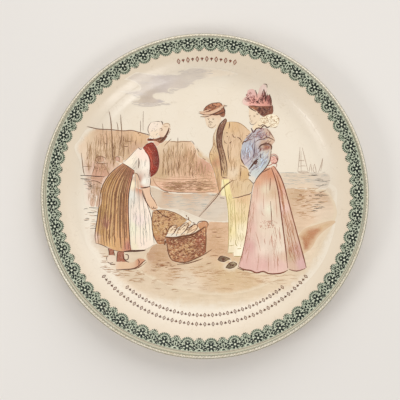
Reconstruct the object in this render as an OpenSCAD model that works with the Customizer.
// Glazed earthenware souvenir plate with a printed border and a printed seaside scene.
// The plate lies face up on its foot ring; the top of the picture is towards +Y.

/* [Plate] */
// Diameter over the glazed edge
plate_d = 200; // [170:1:260]
// Thickness of the fired clay wall
wall_t = 4.2; // [3:0.1:6]
// Radius of the flat floor of the well
well_r = 67; // [50:0.5:72]
// Steepest slope of the shoulder between well and rim, in degrees
shoulder_slope = 38; // [25:1:50]
// Radius of the hollow bend at the foot of the shoulder, on the clay's upper face
hollow_bend_r = 20; // [10:0.5:24]
// Radius of the round bend at the top of the shoulder, on the clay's upper face
crest_bend_r = 16; // [10:0.5:20]
// Slope of the rim, in degrees
rim_slope = 12; // [5:1:20]

/* [Foot ring] */
// Distance from the edge of the well's floor in to the middle of the foot ring
foot_inset = 6; // [4:0.5:20]
// Height of the foot ring below the clay wall
foot_h = 3.4; // [2:0.1:6]
// Width of the ring where it joins the wall
foot_root_w = 6.4; // [5:0.1:8]
// Width of the flat that the plate rests on
foot_bearing_w = 2.6; // [1.5:0.1:4]
// Width and height of the worn bevel beside that flat
foot_bevel = 0.5; // [0.2:0.1:1]
// Height of the ring's bare, wiped clay
foot_bare_h = 1.3; // [0.8:0.1:1.8]

/* [Glaze and print] */
// Thickness of the glaze
glaze_t = 0.25; // [0.15:0.05:0.5]
// Thickness of a printed or painted colour
print_t = 0.1; // [0.08:0.01:0.2]

/* [Border] */
// Number of large rosettes round the rim
border_repeats = 41; // [24:1:60]
// Clear glaze left between the green border and the rounded lip
border_edge_gap = 0.1; // [0.1:0.1:3]
// Width of the solid part of the green border
border_band_w = 4; // [2:0.1:8]
// Radius of the scallop round each large rosette
large_scallop_r = 4.3; // [2:0.1:5.5]
// Radius of the scallop between two rosettes
small_scallop_r = 3.7; // [1:0.1:4]
// Slip of the border transfer to the right of the plate's centre
border_slip_x = 0.2; // [-1:0.1:1]
// Slip of the border transfer above the plate's centre
border_slip_y = 0.6; // [-1:0.1:1]
// Angle from level at which the beaded band ends on the rounded lip, in degrees
bead_band_end = 30; // [20:1:60]

/* [Picture] */
// Scale of the printed scene
picture_scale = 1.01; // [0.7:0.01:1.1]
// Clear glaze left between the scene and the border
picture_gap = 1; // [0.5:0.1:5]
// Slip of the scene to the right of the plate's centre
picture_slip_x = -0.2; // [-2:0.1:2]
// Slip of the scene above the plate's centre
picture_slip_y = -0.1; // [-2:0.1:2]
// Width of a printed line
line_w = 0.4; // [0.25:0.05:0.8]

/* [Ornament rows] */
// Distance from the border's scallops in to the row above the scene
title_drop = 4.4; // [3:0.1:9]
// Number of lozenges above the scene
title_count = 13; // [5:1:25]
// Distance from the border's scallops in to the outer row below the scene
caption_drop = 9; // [4:0.1:10]
// Distance between the two rows below the scene
caption_row_gap = 5.4; // [4:0.1:8]
// Number of lozenges in the outer row below the scene
caption_outer_count = 29; // [9:1:31]
// Number of lozenges in the inner row below the scene
caption_inner_count = 23; // [9:1:23]
// Angle between neighbouring lozenges above the scene, in degrees
title_pitch = 2; // [1.8:0.1:4]
// Turn of the upper row about the plate's middle, clockwise, in degrees
title_turn = 0.9; // [-5:0.1:5]
// Angle between neighbouring lozenges below the scene, in degrees
caption_pitch = 3.6; // [3:0.1:4]
// Length of a lozenge across the row
lozenge_l = 3; // [1.5:0.1:4]
// Width of a lozenge along the row
lozenge_w = 1.6; // [0.8:0.1:2.5]

/* [Hidden] */
$fn = 180;

plate_r = plate_d / 2;
floor_z = foot_h + wall_t;
lip_r = wall_t / 2;
face_level = glaze_t;
print_level = glaze_t + print_t;
back_level = -wall_t - glaze_t;
sky_h = 60;
foot_r = well_r - foot_inset;
// Neighbouring pieces of a section lap by this much, so that they join
seam_lap = 0.002;

// Centres of the two bends and the start of the rim's middle line, as [radius, height]
hollow_c = [well_r, floor_z + hollow_bend_r];
crest_c = hollow_c + (hollow_bend_r + crest_bend_r) * [sin(shoulder_slope), -cos(shoulder_slope)];
rim_start = crest_c + (crest_bend_r - lip_r) * [-sin(rim_slope), cos(rim_slope)];
rim_length = (plate_r - lip_r - glaze_t - rim_start[0]) / cos(rim_slope);

border_slip = [border_slip_x, border_slip_y];
picture_slip = [picture_slip_x, picture_slip_y];
rim_face_end_r = plate_r - glaze_t - lip_r * (1 + sin(rim_slope));
border_outer_r = rim_face_end_r - border_edge_gap - norm(border_slip);
border_inner_r = border_outer_r - border_band_w;
border_reach_r = border_inner_r - large_scallop_r;
picture_limit_r = border_reach_r - picture_gap - norm(border_slip);
title_r = border_reach_r - title_drop;
caption_outer_r = border_reach_r - caption_drop;
caption_inner_r = caption_outer_r - caption_row_gap;

// ---- Sections of the wall, in the radius-height plane ----

// Part of a ring about the origin, between two radii and two angles under 180 degrees apart
module ring_sector(r_in, r_out, a_from, a_to) {
  reach = 2 * r_out;
  a_mid = (a_from + a_to) / 2;
  intersection() {
    difference() {
      circle(r = r_out);
      if (r_in > 0) circle(r = r_in);
    }
    polygon([
      [0, 0],
      reach * [cos(a_from), sin(a_from)],
      reach * [cos(a_mid), sin(a_mid)],
      reach * [cos(a_to), sin(a_to)]
    ]);
  }
}

// Layer between two levels, each measured square to the clay's upper face
module wall_layer(low, high, flat_from = 0) {
  thick = high - low;
  hollow_lap = seam_lap / hollow_bend_r * 180 / PI;
  crest_lap = seam_lap / crest_bend_r * 180 / PI;
  translate([flat_from, floor_z + low]) square([well_r + seam_lap - flat_from, thick]);
  translate(hollow_c)
    ring_sector(hollow_bend_r - high, hollow_bend_r - low, -90, -90 + shoulder_slope + hollow_lap);
  translate(crest_c) rotate(rim_slope) {
    ring_sector(crest_bend_r + low, crest_bend_r + high, 90 - crest_lap,
      90 + shoulder_slope - rim_slope);
    translate([0, crest_bend_r + low]) square([rim_length, thick]);
  }
}

// Half ring round the lip
module lip_layer(r_in, r_out) {
  lip_lap = seam_lap / r_out * 180 / PI;
  translate(crest_c) rotate(rim_slope) translate([rim_length, crest_bend_r - lip_r])
    ring_sector(r_in, r_out, -90 - lip_lap, 90 + lip_lap);
}

// Radius of the foot ring's wall at a height, on its outer side (+1) or inner side (-1)
function foot_wall_r(z, side) =
  let (low_w = foot_bearing_w / 2 + foot_bevel, high_w = foot_root_w / 2)
  foot_r + side * (low_w + (high_w - low_w) * (z - foot_bevel) / (foot_h - foot_bevel));

module foot_section() {
  root_z = foot_h + wall_t / 4;
  polygon([
    [foot_r - foot_bearing_w / 2, 0],
    [foot_r + foot_bearing_w / 2, 0],
    [foot_wall_r(foot_bevel, 1), foot_bevel],
    [foot_wall_r(foot_h, 1), foot_h],
    [foot_wall_r(foot_h, 1), root_z],
    [foot_wall_r(foot_h, -1), root_z],
    [foot_wall_r(foot_h, -1), foot_h],
    [foot_wall_r(foot_bevel, -1), foot_bevel]
  ]);
}

// Glaze on the outer side of the foot ring, from the wiped clay up to the wall
module foot_glaze_section() {
  polygon([
    [foot_wall_r(foot_bare_h, 1), foot_bare_h],
    [foot_wall_r(foot_bare_h, 1) + glaze_t, foot_bare_h],
    [foot_wall_r(foot_h, 1) + glaze_t, foot_h],
    [foot_wall_r(foot_h, 1), foot_h]
  ]);
}

// ---- Clay and glaze ----

module clay_body() {
  color("#e9dcc3") rotate_extrude() {
    wall_layer(-wall_t, 0);
    lip_layer(0, lip_r);
    foot_section();
  }
}

// One coat over the face, round the lip and down to the foot ring
module glaze_coat() {
  color("#f0e4cf") rotate_extrude() {
    wall_layer(0, face_level);
    lip_layer(lip_r, lip_r + glaze_t);
    wall_layer(back_level, -wall_t, foot_wall_r(foot_h, 1));
    foot_glaze_section();
  }
}

module foot_well_glaze() {
  color("#eee2cc") rotate_extrude() polygon([
    [0, foot_h - glaze_t],
    [foot_wall_r(foot_h, -1) - glaze_t, foot_h - glaze_t],
    [foot_wall_r(foot_bare_h, -1) - glaze_t, foot_bare_h],
    [foot_wall_r(foot_bare_h, -1), foot_bare_h],
    [foot_wall_r(foot_h, -1), foot_h],
    [0, foot_h]
  ]);
}

// ---- Printing on the face ----

// Lays a flat drawing on the glaze, out to a given radius
module print_on_face(limit_r) {
  intersection() {
    linear_extrude(height = sky_h) intersection() {
      children();
      circle(r = limit_r);
    }
    rotate_extrude() wall_layer(face_level, print_level);
  }
}

// Lays part of the scene on the glaze, clear of the border
module print_scene() {
  print_on_face(picture_limit_r) translate(picture_slip) scale(picture_scale) children();
}

module border_outline() {
  pitch = 360 / border_repeats;
  translate(border_slip) difference() {
    circle(r = border_outer_r);
    difference() {
      circle(r = border_inner_r);
      for (i = [0 : border_repeats - 1]) {
        rotate(i * pitch) translate([border_inner_r, 0]) circle(r = large_scallop_r);
        rotate((i + 0.5) * pitch) translate([border_inner_r, 0]) circle(r = small_scallop_r);
      }
    }
  }
}

module border_green_print() {
  color("#9fb39a") print_on_face(plate_r) border_outline();
}

module bead_edge_print() {
  color("#d9c7a6") rotate_extrude()
    translate(crest_c) rotate(rim_slope) translate([rim_length, crest_bend_r - lip_r])
    ring_sector(lip_r + face_level, lip_r + print_level, bead_band_end - rim_slope, 90);
}

module lozenge(l, w) {
  polygon([[-l / 2, 0], [0, -w / 2], [l / 2, 0], [0, w / 2]]);
}

// Row of lozenges on an arc, centred on an angle; every second one is small
module lozenge_row(row_r, count, pitch, middle) {
  for (i = [0 : count - 1]) {
    size = i % 2 == 0 ? 1 : 0.55;
    rotate(middle + (i - (count - 1) / 2) * pitch)
      translate([row_r, 0]) lozenge(size * lozenge_l, size * lozenge_w);
  }
}

module title_ornament_print() {
  color("#8a5a44") print_on_face(picture_limit_r) lozenge_row(title_r, title_count, title_pitch, 90 - title_turn);
}

module caption_ornament_print() {
  color("#4a4038") print_on_face(picture_limit_r) {
    lozenge_row(caption_inner_r, caption_inner_count, caption_pitch, -90);
    lozenge_row(caption_outer_r, caption_outer_count, caption_pitch, -90);
  }
}

// ---- Drawing of the scene ----
// Outlines are closed runs of [x, y] points; a third value of 1 makes the point a corner.

// Direction of the curve at a point, or none at a corner
function heading(pts, i) =
  len(pts[i]) > 2 ? [0, 0] : (flat_xy(pts, i + 1) - flat_xy(pts, i - 1)) / 2;
function flat_xy(pts, i) =
  let (p = pts[(i + len(pts)) % len(pts)]) [p[0], p[1]];
function curve_at(p0, p1, m0, m1, t) =
  (2 * pow(t, 3) - 3 * pow(t, 2) + 1) * p0 + (pow(t, 3) - 2 * pow(t, 2) + t) * m0
  + (3 * pow(t, 2) - 2 * pow(t, 3)) * p1 + (pow(t, 3) - pow(t, 2)) * m1;
function smooth_outline(pts, steps = 4) = [
  for (i = [0 : len(pts) - 1])
    for (k = [0 : steps - 1])
      curve_at(flat_xy(pts, i), flat_xy(pts, i + 1),
        heading(pts, i), heading(pts, (i + 1) % len(pts)), k / steps)
];
module patch(pts) {
  polygon(smooth_outline(pts));
}

// Straight printed line that tapers from one width to another
module pen_line(from, to, w = line_w) {
  run = to - from;
  side = [-run[1], run[0]] / norm(run) * w / 2;
  polygon([from + side, from - side, to - side * 0.6, to + side * 0.6]);
}

// Fish-seller
bodice = [
  [-38, 29, 1], [-35, 31.6], [-31.8, 32.4], [-29.6, 29], [-28.2, 24], [-28, 18], [-29.6, 13.6],
  [-33.6, 10.4, 1], [-33.6, 14.5], [-33.2, 19], [-34.2, 23.6], [-36.4, 26.8]
];
blouse = [
  [-50, 19.5, 1], [-46, 23.2], [-41.6, 28], [-38.6, 28.6], [-36.4, 26.8], [-34.2, 23.6], [-33.2, 19],
  [-33.2, 12], [-33.4, 4.8, 1], [-39, 4.2, 1], [-39.8, 8.5], [-40.4, 12.4, 1], [-43, 14.8, 1]
];
apron = [
  [-43, 12.5, 1], [-45.2, 6], [-46.3, -3], [-46.4, -13], [-45.6, -23], [-44.6, -30], [-43.6, -34, 1],
  [-37, -33.6], [-33, -32], [-30.6, -30, 1], [-31.2, -23], [-32.2, -14], [-34.4, -7], [-37.4, 3, 1],
  [-41.5, 4, 1]
];
cap = [
  [-34.2, 43.4], [-31, 45.4], [-27, 45.2, 1], [-25.8, 43.2], [-27.4, 40.6], [-28, 37], [-30.6, 35],
  [-33.6, 36.2], [-34.8, 39.8]
];
seller_skirt = [
  [-50, 19.5, 1], [-46.5, 17.4], [-43, 14.8, 1], [-44.4, 9], [-46.1, 0], [-46.5, -10], [-45.8, -22],
  [-44.8, -31], [-44, -34.8, 1], [-50, -35], [-55.4, -33.6, 1], [-60, -31.4], [-66, -29.8, 1],
  [-66.8, -25], [-65.4, -16], [-64.2, -6], [-63, 3], [-60, 10], [-55.4, 15.4]
];
seller_face = [
  [-26.4, 43.6], [-23, 44.2], [-21.2, 42], [-21.6, 38.6], [-24.6, 35.4], [-27.6, 36.6], [-27.4, 40.6]
];
seller_neck = [[-30, 34.5], [-26.6, 32.6], [-29.4, 29.6, 1], [-31.4, 32.4, 1]];
seller_arm = [
  [-38.6, 4.4, 1], [-33.4, 4.8, 1], [-32.6, 0], [-30, -4], [-28.4, -8], [-30.8, -9.8], [-33.4, -8.2],
  [-36.2, -3.4], [-38, 1]
];
seller_hand = [[-54.4, 22.4], [-51.6, 23.6], [-49.6, 20.4], [-52.4, 19.6]];
seller_hair = [
  [-34.8, 34.8], [-31, 34.6], [-28, 35.4], [-25, 36.8], [-23, 39.4], [-21.8, 41.6], [-20.8, 40],
  [-22.4, 36.8], [-24.8, 33.2], [-27.2, 31.8], [-29.8, 33.2], [-34.6, 33.2]
];
seller_stockings = [
  [[-58.2, -32.6, 1], [-55, -33.8, 1], [-54.8, -37, 1], [-58, -37, 1]],
  [[-52.6, -34.8, 1], [-48.8, -35, 1], [-48.4, -38.8], [-47.2, -41, 1], [-53.2, -41, 1]]
];
seller_clogs = [
  [[-59.2, -38], [-56, -37], [-53.8, -38.4], [-54.2, -41.4], [-58, -41.8]],
  [
    [-53.8, -41, 1], [-47, -41, 1], [-43.6, -41.4], [-40, -39], [-35.8, -39.6, 1], [-38.6, -43.4],
    [-43, -45.2], [-53.6, -45.6, 1]
  ]
];

// Basket of fish
basket_front = [
  [-24, -25.6, 1], [-17, -25.8], [-9, -24.2], [-3, -21.6], [-4.6, -18.6], [-1.4, -16.6], [1.6, -16.6],
  [2.2, -19], [1, -26], [0.8, -35.4, 1], [-5, -38.8], [-12.4, -41.4], [-19.4, -40.6], [-22, -36.4]
];
basket_lid = [
  [-31.6, -10.6, 1], [-27.6, -9.4], [-21, -10], [-15.6, -12], [-10.4, -15.6, 1], [-15, -19.6],
  [-22.6, -24.2], [-24.6, -30.4, 1], [-28.4, -30], [-30.6, -25], [-31.8, -18]
];
fishes = [
  [[-22.6, -23.4], [-20.8, -20], [-17.6, -18.2], [-16.8, -19.6], [-18.6, -23.4]],
  [[-17.8, -24], [-16, -21.2], [-12, -18], [-8, -16], [-9.4, -19.6], [-13, -23.4]],
  [[-12, -23.4], [-8.6, -19.6], [-4.8, -18.4], [-4, -21.2], [-8, -23.4]]
];

// Gentleman
gent_hat = [
  [-0.4, 50.4, 1], [0.2, 53.6], [3, 56], [7, 57.2], [10.4, 56.8], [11.8, 54.4], [12.9, 51.4],
  [12.4, 48.6], [10.4, 48.4], [8.6, 49.8], [4.4, 50]
];
gent_brim = [[-2.6, 48.4], [4, 49.8], [14.2, 55.4], [4, 51.4]];
gent_face = [
  [0.4, 48.8], [4.6, 50], [8.6, 49.8], [10.4, 48], [9.4, 44.4], [7, 41.8], [4.4, 41.2], [1.8, 42.6],
  [0.8, 45.6]
];
gent_lapel = [
  [11.2, 44.8], [12.8, 47.4], [14, 46], [12.4, 41.4], [11, 37], [10.8, 31], [12.4, 25], [13.8, 18],
  [14, 11, 1], [10.6, 11, 1], [10.3, 17], [9.4, 24], [7.8, 31], [7.7, 37], [9, 41.6]
];
gent_coat = [
  [13, 45, 1], [16.4, 45.4], [20.6, 44.8], [25, 42.2], [29, 38.6, 1], [24.6, 34], [23, 29],
  [22.4, 24.4], [24, 19], [26.8, 15.4], [28, 10], [29.6, 6], [28.8, 1.6, 1], [23.4, -0.4],
  [17.4, -2, 1], [15.8, 3.6], [15, 9.4, 1], [10.7, 9.4, 1], [10.2, 4], [9.4, -0.6, 1], [7.8, 7],
  [6.2, 14], [4, 20], [3.4, 25], [5.4, 30], [5.4, 36], [7.4, 41], [9.6, 44.4]
];
gent_trousers = [
  [11.4, 9.4, 1], [15, 9.4, 1], [15.8, 3.6], [17.4, -2, 1], [23.4, -0.4], [28.6, 1.2, 1], [27.4, -8],
  [26.2, -19], [24.4, -29], [22.6, -37.6, 1], [18, -37.4, 1], [17.8, -35.4, 1], [14.2, -35.4, 1],
  [14.9, -27], [14.8, -17], [14.3, -7], [13, 1]
];
gent_shoes = [
  [[8, -39.6], [10.4, -37.6], [13.4, -38], [16, -39.4], [13, -40.4], [10, -41]],
  [[12.8, -44.4], [15, -42], [18, -41], [19.6, -42.6], [18, -44.4], [15.4, -45]]
];

// Lady
lady_hat = [
  [24, 56.6], [23.8, 59.4], [26.2, 61.8], [27, 65], [30.4, 65.6], [32.8, 62.6], [34.4, 66.6],
  [37, 68.2], [38.6, 65.6], [38.4, 61.8], [40.6, 61.6], [41.6, 58.4], [41.4, 55.6], [36.6, 55.2],
  [31, 55.2], [27, 55.4]
];
lady_hair = [
  [27, 55.2, 1], [31, 55.2], [36.6, 55.2], [41.4, 55.8], [42.6, 53], [42, 50.4], [39, 49.6],
  [36.6, 48.4], [34.2, 50], [32, 52], [29.6, 53]
];
lady_face = [
  [28, 54.2], [31, 52.8], [34.2, 50], [34, 46.6], [31.6, 44], [29, 44.2], [27.8, 47.2], [27.5, 51]
];
lady_boa = [
  [31.6, 44], [34.4, 47.4], [38, 49.2], [42.8, 50], [46, 47.4], [45.6, 43.4], [42, 41.8], [38, 42.2],
  [34.4, 41.2], [30.8, 40.2], [29.6, 42.4]
];
lady_jacket = [
  [27.8, 37.6], [30.8, 40.2], [34.4, 41.2], [39, 41], [42, 37], [43.4, 33.4], [41.6, 30.6],
  [41.3, 26], [40, 20.4], [37, 15.8], [33.4, 11.8], [31.8, 9.4], [30, 7.4, 1], [27, 10, 1],
  [27.8, 13.4], [26.6, 16.8], [24, 19], [22.4, 23.4], [22.8, 28], [23.4, 31.8], [25.4, 35]
];
lady_skirt = [
  [40.8, 17, 1], [37, 15.8], [33.4, 11.8], [31, 8], [29.6, 2], [28.4, -6], [26.8, -17], [24.8, -29],
  [22, -40], [20.8, -44, 1], [26, -45.8], [31.6, -47.4], [36.6, -46.6, 1], [42, -48], [47.6, -47],
  [50.8, -45.2, 1], [50, -37], [48.7, -28], [47.3, -17], [46.2, -7], [44.8, 3], [43, 11]
];
lady_train = [
  [43, 17.6], [40.8, 17, 1], [43, 11], [44.8, 3], [46.2, -7], [47.3, -17], [48.7, -28], [50, -37],
  [50.8, -45.2, 1], [55.6, -46.4], [61.2, -45, 1], [60, -38], [57, -26.6], [53.8, -14], [51, -3],
  [48, 7], [45.4, 13.6]
];
lady_bow = [[40.6, 22.6], [43.2, 24], [45, 21.6], [43.6, 19], [41, 19.8]];

// Shore, sea and sky
cliffs = [
  [-76, 33], [-71.6, 39.6], [-66, 40.2], [-55, 39.8], [-45, 39.8], [-36, 37.4], [-27, 34], [-18, 33.4],
  [-9, 33.2], [-5.6, 29.6], [-3.6, 24], [1, 21], [5, 17], [8, 6], [9.6, 0.4, 1], [-2, 1.6], [-14, 1.4],
  [-23, 2.4], [-31, 5.2], [-40, 3], [-56, -4], [-69, -9.6], [-73.4, -4], [-74, 8], [-76, 20],
  [-79, 28]
];
harbour_water = [
  [-33, 4.6], [-23, 1.4], [-14, 0.4], [-2, 0.6], [9.6, -0.6], [15, -3], [15.4, -16.6, 1], [3, -16.4],
  [-7, -13], [-15, -9.6], [-27, -8], [-31, -2]
];
open_sea = [
  [45.6, 13.4, 1], [60, 13], [74, 13.4], [77, 9], [74, 3.4], [62, 4], [48.6, 4.2, 1]
];
sand = [
  [47, 4.2, 1], [60, 3.4], [73, 3], [78, -3], [80, -12], [77, -20], [71, -30], [64, -41],
  [52, -46], [40, -54], [22, -60], [4, -61], [-14, -58], [-28, -53], [-41, -45.6], [-37, -39],
  [-31, -31], [-22, -28], [-4, -20], [3, -16.6], [15.4, -16.8], [30, -12], [42, -4]
];
sand_shadow = [
  [56.8, -25.6, 1], [60.6, -21], [67, -18.8], [76, -16.4], [79, -17.6], [73, -22], [68.6, -26.4],
  [65, -32.6], [60, -36.4, 1]
];
clouds = [
  [-52, 63], [-44, 62], [-40, 60], [-46, 57.6], [-40, 56], [-33, 55], [-26, 57], [-17, 57.6],
  [-26, 59.2], [-31.6, 61.4], [-27, 63.2], [-20, 62.6], [-22, 65.6], [-12, 66], [-4, 71.4], [8, 73],
  [21, 74.4], [10, 77.6], [-8, 78.6], [-16, 75], [-30, 74], [-46, 74.8], [-53, 70.8], [-43, 69],
  [-40, 65]
];

module seller() {
  for (outline = [bodice, blouse, apron, cap, seller_skirt, seller_face, seller_neck, seller_arm,
    seller_hand, seller_hair]) patch(outline);
  for (outline = seller_stockings) patch(outline);
  for (outline = seller_clogs) patch(outline);
}
module basket() {
  patch(basket_front);
  patch(basket_lid);
  for (outline = fishes) patch(outline);
}
module gentleman() {
  for (outline = [gent_hat, gent_brim, gent_face, gent_lapel, gent_coat, gent_trousers])
    patch(outline);
  for (outline = gent_shoes) patch(outline);
}
module lady() {
  for (outline = [lady_hat, lady_hair, lady_face, lady_boa, lady_jacket, lady_skirt, lady_train,
    lady_bow]) patch(outline);
}
module everyone() {
  seller();
  basket();
  gentleman();
  lady();
}

// ---- One module for each colour of the scene ----

module cloud_grey_print() {
  color("#cfc6c3") print_scene() patch(clouds);
}

module sea_grey_print() {
  color("#d8d2c8") print_scene() difference() {
    union() {
      patch(harbour_water);
      patch(open_sea);
    }
    everyone();
  }
}

module cliff_brown_print() {
  color("#d0b08b") print_scene() difference() {
    patch(cliffs);
    patch(harbour_water);
    everyone();
  }
}

module sand_print() {
  color("#e2c8a2") print_scene() difference() {
    patch(sand);
    patch(harbour_water);
    patch(open_sea);
    patch(sand_shadow);
    everyone();
  }
}

module shadow_rust_print() {
  color("#c08f68") print_scene() difference() {
    patch(sand_shadow);
    patch(lady_train);
  }
}

module russet_print() {
  color("#a8422f") print_scene() difference() {
    patch(bodice);
    patch(blouse);
    patch(seller_neck);
    patch(seller_hair);
  }
}

module umber_print() {
  color("#a67f52") print_scene() difference() {
    patch(seller_skirt);
    patch(blouse);
    patch(apron);
    patch(seller_hand);
  }
}

module wicker_print() {
  color("#b07a52") print_scene() difference() {
    union() {
      patch(basket_front);
      patch(basket_lid);
    }
    for (outline = fishes) patch(outline);
    patch(apron);
    patch(seller_arm);
  }
}

module chestnut_print() {
  color("#6b4636") print_scene() {
    difference() {
      patch(gent_hat);
      patch(gent_brim);
      patch(gent_face);
    }
    difference() {
      patch(seller_hair);
      patch(seller_face);
      patch(cap);
    }
    difference() {
      patch(lady_hair);
      patch(lady_hat);
      patch(lady_face);
    }
    difference() {
      patch(gent_lapel);
      patch(gent_face);
    }
    difference() {
      for (outline = seller_stockings) patch(outline);
      patch(seller_skirt);
    }
    for (outline = gent_shoes) patch(outline);
  }
}

module linen_print() {
  color("#f6f0e4") print_scene() {
    patch(blouse);
    patch(cap);
    difference() {
      patch(apron);
      patch(blouse);
      patch(seller_arm);
    }
    difference() {
      patch(lady_boa);
      patch(lady_face);
      patch(lady_hair);
    }
  }
}

module flesh_print() {
  color("#f0cfae") print_scene() {
    difference() {
      patch(seller_face);
      patch(cap);
    }
    difference() {
      patch(seller_neck);
      patch(seller_hair);
    }
    difference() {
      patch(seller_arm);
      patch(blouse);
    }
    patch(gent_brim);
    difference() {
      patch(gent_face);
      patch(gent_brim);
    }
    patch(lady_face);
    difference() {
      patch(seller_hand);
      patch(blouse);
    }
    for (outline = fishes) patch(outline);
    for (outline = seller_clogs) difference() {
      patch(outline);
      for (stocking = seller_stockings) patch(stocking);
    }
  }
}

module ochre_print() {
  color("#dcb987") print_scene() difference() {
    patch(gent_coat);
    patch(gent_lapel);
    patch(gent_face);
    patch(lady_jacket);
    patch(lady_skirt);
  }
}

module straw_print() {
  color("#ecdca2") print_scene() difference() {
    patch(gent_trousers);
    patch(gent_coat);
    patch(gent_lapel);
    patch(lady_skirt);
    patch(lady_jacket);
  }
}

module blue_print() {
  color("#b9c1cf") print_scene() difference() {
    patch(lady_jacket);
    patch(lady_boa);
  }
}

module pink_print() {
  color("#e8bfae") print_scene() {
    difference() {
      patch(lady_skirt);
      patch(lady_jacket);
    }
    difference() {
      patch(lady_hat);
      patch(lady_face);
    }
    difference() {
      patch(lady_bow);
      patch(lady_jacket);
      patch(lady_train);
    }
  }
}

module mauve_print() {
  color("#cfa590") print_scene() difference() {
    patch(lady_train);
    patch(lady_skirt);
    patch(lady_jacket);
  }
}

// Masts above the cliffs and a sail on the horizon
module sepia_line_print() {
  color("#6a5142") print_scene() {
    pen_line([-58.4, 41], [-59, 52]);
    pen_line([-51, 41], [-51.6, 48]);
    pen_line([-39.4, 42], [-39.2, 51]);
    pen_line([-55, 41], [-55.4, 45]);
    pen_line([57, 14], [60, 29]);
    pen_line([64, 14], [60.6, 29]);
    pen_line([72, 14], [73.4, 22]);
  }
}

clay_body();
glaze_coat();
foot_well_glaze();
border_green_print();
bead_edge_print();
title_ornament_print();
caption_ornament_print();
cloud_grey_print();
sea_grey_print();
cliff_brown_print();
sand_print();
shadow_rust_print();
russet_print();
umber_print();
wicker_print();
chestnut_print();
linen_print();
flesh_print();
ochre_print();
straw_print();
blue_print();
pink_print();
mauve_print();
sepia_line_print();
